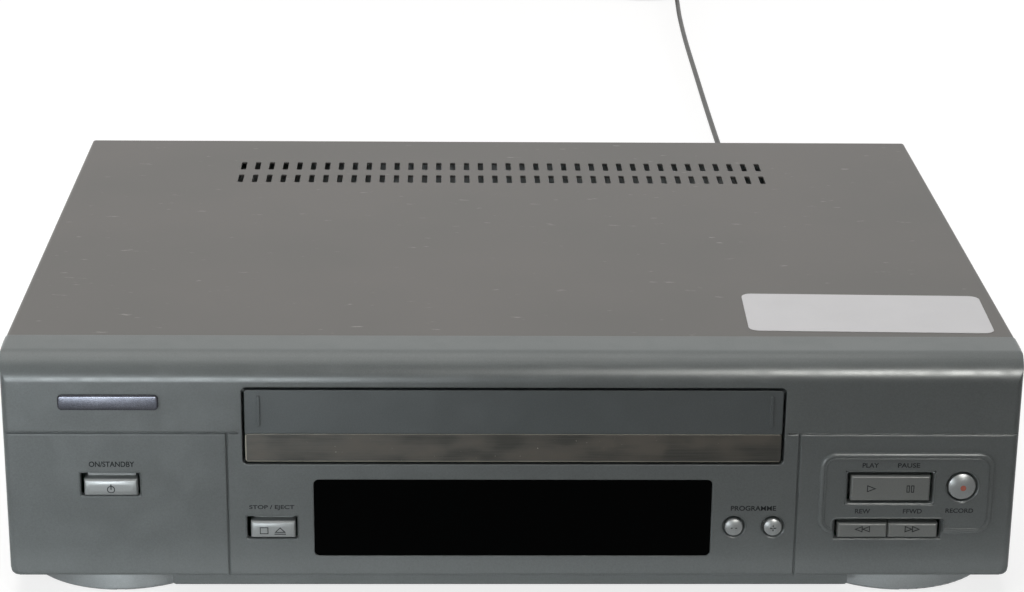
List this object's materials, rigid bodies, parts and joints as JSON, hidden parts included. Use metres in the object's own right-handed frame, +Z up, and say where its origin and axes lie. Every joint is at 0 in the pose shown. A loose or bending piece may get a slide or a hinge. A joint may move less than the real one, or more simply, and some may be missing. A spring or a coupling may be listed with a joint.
{
  "type": "video cassette recorder",
  "caption": "Low, wide front-loading video cassette recorder with flap door, display window, push buttons, vented cover, rear sockets, working tape deck and mains lead.",
  "frame": {"origin": "on the surface it stands on, under the middle of the box that the recorder fills without its mains lead", "axes": "+X to the right seen from the front, +Y from the front towards the back, +Z up"},
  "size_m": [0.3868, 1.0855, 0.0965],
  "materials": {
    "fascia_plastic": "silver-grey painted ABS, fine satin",
    "cover_paint": "grey semi-matt paint on steel",
    "door_plastic": "silver-grey painted ABS, satin",
    "door_strip": "dark lacquered, brushed and worn",
    "window_acrylic": "smoked black acrylic, polished",
    "tube_glass": "dark display glass",
    "button_plastic": "silver painted, satin gloss",
    "foot_plastic": "moulded grey",
    "pad_rubber": "soft black",
    "zinc_steel": "zinc-plated sheet steel",
    "bare_steel": "fine ground",
    "black_screw": "black zinc",
    "board_green": "solder-masked laminate",
    "board_brown": "phenolic laminate",
    "parts_black": "moulded epoxy",
    "transformer_core": "varnished laminations",
    "sink_aluminium": "extruded",
    "socket_plastic": "moulded black",
    "jack_plastic": "moulded pale",
    "drum_aluminium": "precision turned",
    "head_metal": "ground",
    "white_acetal": "moulded",
    "roller_rubber": "ground",
    "belt_rubber": "moulded",
    "spring_steel": "drawn wire",
    "cord_rubber": "extruded",
    "plug_metal": "nickel-plated, worn"
  },
  "bodies": {
    "case": {"front_fascia": "fascia_plastic", "display_window": "window_acrylic", "display_tube": "tube_glass", "front_board": "board_green", "top_cover": "cover_paint", "bottom_pan": "zinc_steel", "rear_panel": "zinc_steel", "front_feet": "foot_plastic", "rear_feet": "foot_plastic", "foot_pads": "pad_rubber", "screws": "black_screw", "main_board": "board_green", "board_parts": "parts_black", "tuner_module": "zinc_steel", "scart_socket_1": "socket_plastic", "scart_socket_2": "socket_plastic", "audio_jacks": "jack_plastic", "power_board": "board_brown", "power_transformer": "transformer_core", "heat_sink": "sink_aluminium", "power_capacitors": "parts_black", "deck_plate": "zinc_steel", "carriage_side_left": "zinc_steel", "carriage_side_right": "zinc_steel", "carriage_bridge": "zinc_steel", "lower_drum": "drum_aluminium", "fixed_posts": "bare_steel", "erase_head": "head_metal", "audio_head": "head_metal", "loading_motor": "bare_steel", "capstan_stator": "board_green", "drive_belt": "belt_rubber", "door_spring": "spring_steel", "strain_relief": "cord_rubber", "mains_cord": "cord_rubber", "cord_coil": "cord_rubber", "cord_tie": "cord_rubber", "plug_body": "cord_rubber", "plug_pins": "plug_metal"},
    "door": {"cassette_door": "door_plastic", "door_trim_strip": "door_strip"},
    "shoes": {"feed_shoes": "white_acetal"},
    "tray": {"cassette_tray": "zinc_steel"},
    "drum": {"upper_drum": "drum_aluminium"},
    "capstan": {"capstan": "bare_steel"},
    "supply_reel": {"supply_reel_table": "white_acetal"},
    "takeup_reel": {"takeup_reel_table": "white_acetal"},
    "pinch_arm": {"pinch_arm": "zinc_steel"},
    "pinch_roller": {"pinch_roller": "roller_rubber"},
    "clutch": {"clutch_pulley": "white_acetal"},
    "guide_left": {"tape_guide_left": "bare_steel"},
    "guide_right": {"tape_guide_right": "bare_steel"},
    "power_key": {"power_button": "button_plastic"},
    "stop_key": {"stop_eject_button": "button_plastic"},
    "play_key": {"play_pause_button": "button_plastic"},
    "rewind_key": {"rewind_button": "button_plastic"},
    "forward_key": {"fast_forward_button": "button_plastic"},
    "record_key": {"record_button": "button_plastic"},
    "programme_down_key": {"programme_down_button": "button_plastic"},
    "programme_up_key": {"programme_up_button": "button_plastic"}
  },
  "joints": [
    {"name": "door_swing", "type": "hinge", "parent": "case", "child": "door", "pos_m": [0, -0.14285, 0.0826], "axis": [1, 0, 0], "range_deg": [0, 90], "stiffness_Nm_per_rad": 0.012, "springref_deg": -17.19},
    {"name": "carriage_feed", "type": "slide", "parent": "case", "child": "shoes", "axis": [0, 1, 0], "range_m": [0, 0.064]},
    {"name": "carriage_drop", "type": "slide", "parent": "shoes", "child": "tray", "axis": [0, 0, -1], "range_m": [0, 0.0204]},
    {"name": "drum_spin", "type": "hinge", "parent": "case", "child": "drum", "pos_m": [0, 0.04425, 0.0285], "axis": [0, 0.1045, 0.9945], "continuous": true},
    {"name": "capstan_spin", "type": "hinge", "parent": "case", "child": "capstan", "pos_m": [0.062, 0.00925, 0.014], "axis": [0, 0, 1], "continuous": true},
    {"name": "clutch_spin", "type": "hinge", "parent": "case", "child": "clutch", "pos_m": [0, -0.05525, 0.012], "axis": [0, 0, 1], "continuous": true},
    {"name": "supply_reel_spin", "type": "hinge", "parent": "case", "child": "supply_reel", "pos_m": [-0.046, -0.05525, 0.026], "axis": [0, 0, 1], "continuous": true},
    {"name": "takeup_reel_spin", "type": "hinge", "parent": "case", "child": "takeup_reel", "pos_m": [0.046, -0.05525, 0.026], "axis": [0, 0, 1], "continuous": true},
    {"name": "pinch_swing", "type": "hinge", "parent": "case", "child": "pinch_arm", "pos_m": [0.082, 0.01325, 0.027], "axis": [0, 0, -1], "range_deg": [0, 22]},
    {"name": "pinch_roller_spin", "type": "hinge", "parent": "pinch_arm", "child": "pinch_roller", "pos_m": [0.0683, -0.00605, 0.034], "axis": [0, 0, 1], "continuous": true},
    {"name": "guide_right_swing", "type": "hinge", "parent": "case", "child": "guide_right", "pos_m": [-0.018, 0.03925, 0.026], "axis": [0, 0, 1], "range_deg": [0, 56]},
    {"name": "guide_left_swing", "type": "hinge", "parent": "case", "child": "guide_left", "pos_m": [0.018, 0.03925, 0.026], "axis": [0, 0, -1], "range_deg": [0, 56]},
    {"name": "power_press", "type": "slide", "parent": "case", "child": "power_key", "axis": [0, 1, 0], "range_m": [0, 0.001], "stiffness_N_per_m": 400},
    {"name": "stop_eject_press", "type": "slide", "parent": "case", "child": "stop_key", "axis": [0, 1, 0], "range_m": [0, 0.001], "stiffness_N_per_m": 400},
    {"name": "play_pause_rock", "type": "hinge", "parent": "case", "child": "play_key", "pos_m": [0.14305, -0.14135, 0.045], "axis": [0, 0, 1], "range_deg": [-2.5, 2.5], "stiffness_Nm_per_rad": 0.12},
    {"name": "rewind_press", "type": "slide", "parent": "case", "child": "rewind_key", "axis": [0, 1, 0], "range_m": [0, 0.001], "stiffness_N_per_m": 400},
    {"name": "fast_forward_press", "type": "slide", "parent": "case", "child": "forward_key", "axis": [0, 1, 0], "range_m": [0, 0.001], "stiffness_N_per_m": 400},
    {"name": "record_press", "type": "slide", "parent": "case", "child": "record_key", "axis": [0, 1, 0], "range_m": [0, 0.001], "stiffness_N_per_m": 400},
    {"name": "programme_down_press", "type": "slide", "parent": "case", "child": "programme_down_key", "axis": [0, 1, 0], "range_m": [0, 0.001], "stiffness_N_per_m": 400},
    {"name": "programme_up_press", "type": "slide", "parent": "case", "child": "programme_up_key", "axis": [0, 1, 0], "range_m": [0, 0.001], "stiffness_N_per_m": 400}
  ],
  "couplings": [
    {"joint": "clutch_spin", "follows": "capstan_spin", "ratio": 0.33333},
    {"joint": "guide_left_swing", "follows": "guide_right_swing", "ratio": 1}
  ]
}
